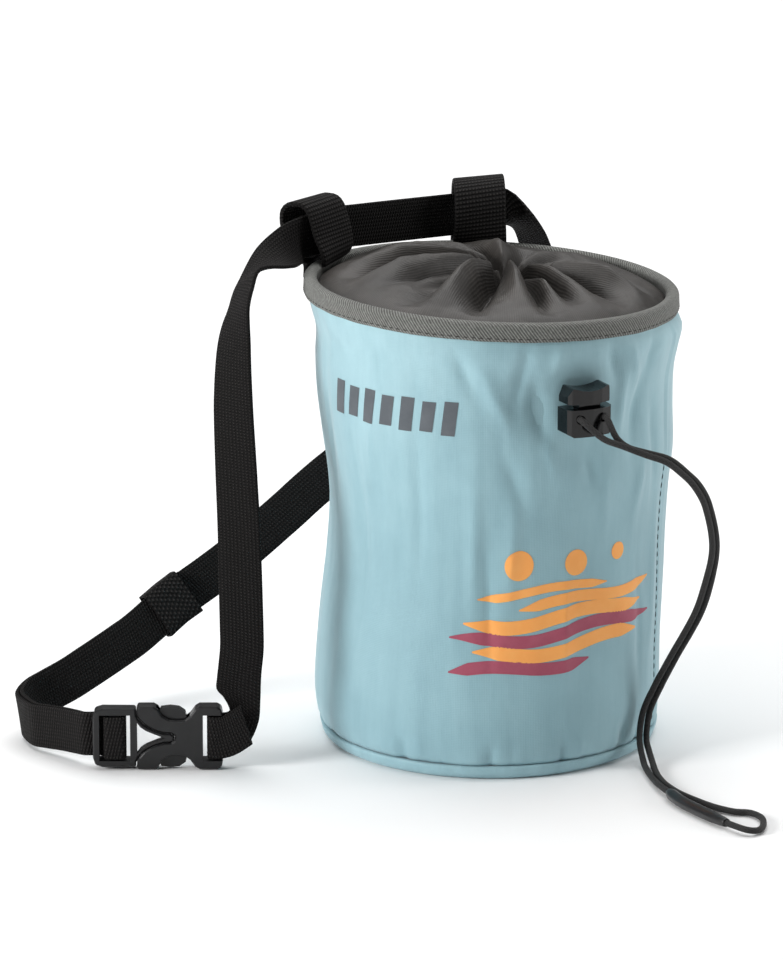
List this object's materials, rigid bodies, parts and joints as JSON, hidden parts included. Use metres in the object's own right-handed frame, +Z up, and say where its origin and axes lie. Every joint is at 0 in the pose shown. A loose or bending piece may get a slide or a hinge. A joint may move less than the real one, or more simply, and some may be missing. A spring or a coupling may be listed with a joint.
{
  "type": "climbing chalk bag",
  "caption": "Soft fabric bucket with a gathered cord-closed collar, a waist belt through loops with a side-release buckle, and a cord lock on its front",
  "frame": {"origin": "the middle of the base on the floor", "axes": "+Z up; the cord lock faces -Y and the belt loops are towards +Y"},
  "size_m": [0.2162, 0.2392, 0.1832],
  "materials": {
    "shell_fabric": "matt coated cloth",
    "binding_tape": "twill tape",
    "collar_fabric": "fine ribbed nylon",
    "webbing": "ribbed webbing",
    "buckle_plastic": "moulded, fine grain",
    "lock_plastic": "moulded, glossy",
    "cord_braid": "braided cord",
    "shrink_sleeve": "shrink tube",
    "keeper_elastic": "woven elastic"
  },
  "bodies": {
    "bag": {"shell": "shell_fabric", "base_panel": "shell_fabric", "rim_binding": "binding_tape", "collar": "collar_fabric", "belt_loop_left": "webbing", "belt_loop_right": "webbing", "belt_webbing": "webbing", "strap_keeper": "keeper_elastic", "buckle_male": "buckle_plastic", "buckle_female": "buckle_plastic", "lock_body": "lock_plastic", "pull_cord": "cord_braid", "cord_sleeve": "shrink_sleeve"},
    "button": {"lock_button": "lock_plastic"}
  },
  "joints": [
    {"name": "lock_press", "type": "slide", "parent": "bag", "child": "button", "axis": [0, 0, -1], "range_m": [0, 0.0012], "stiffness_N_per_m": 300, "springref_m": -0.004}
  ]
}
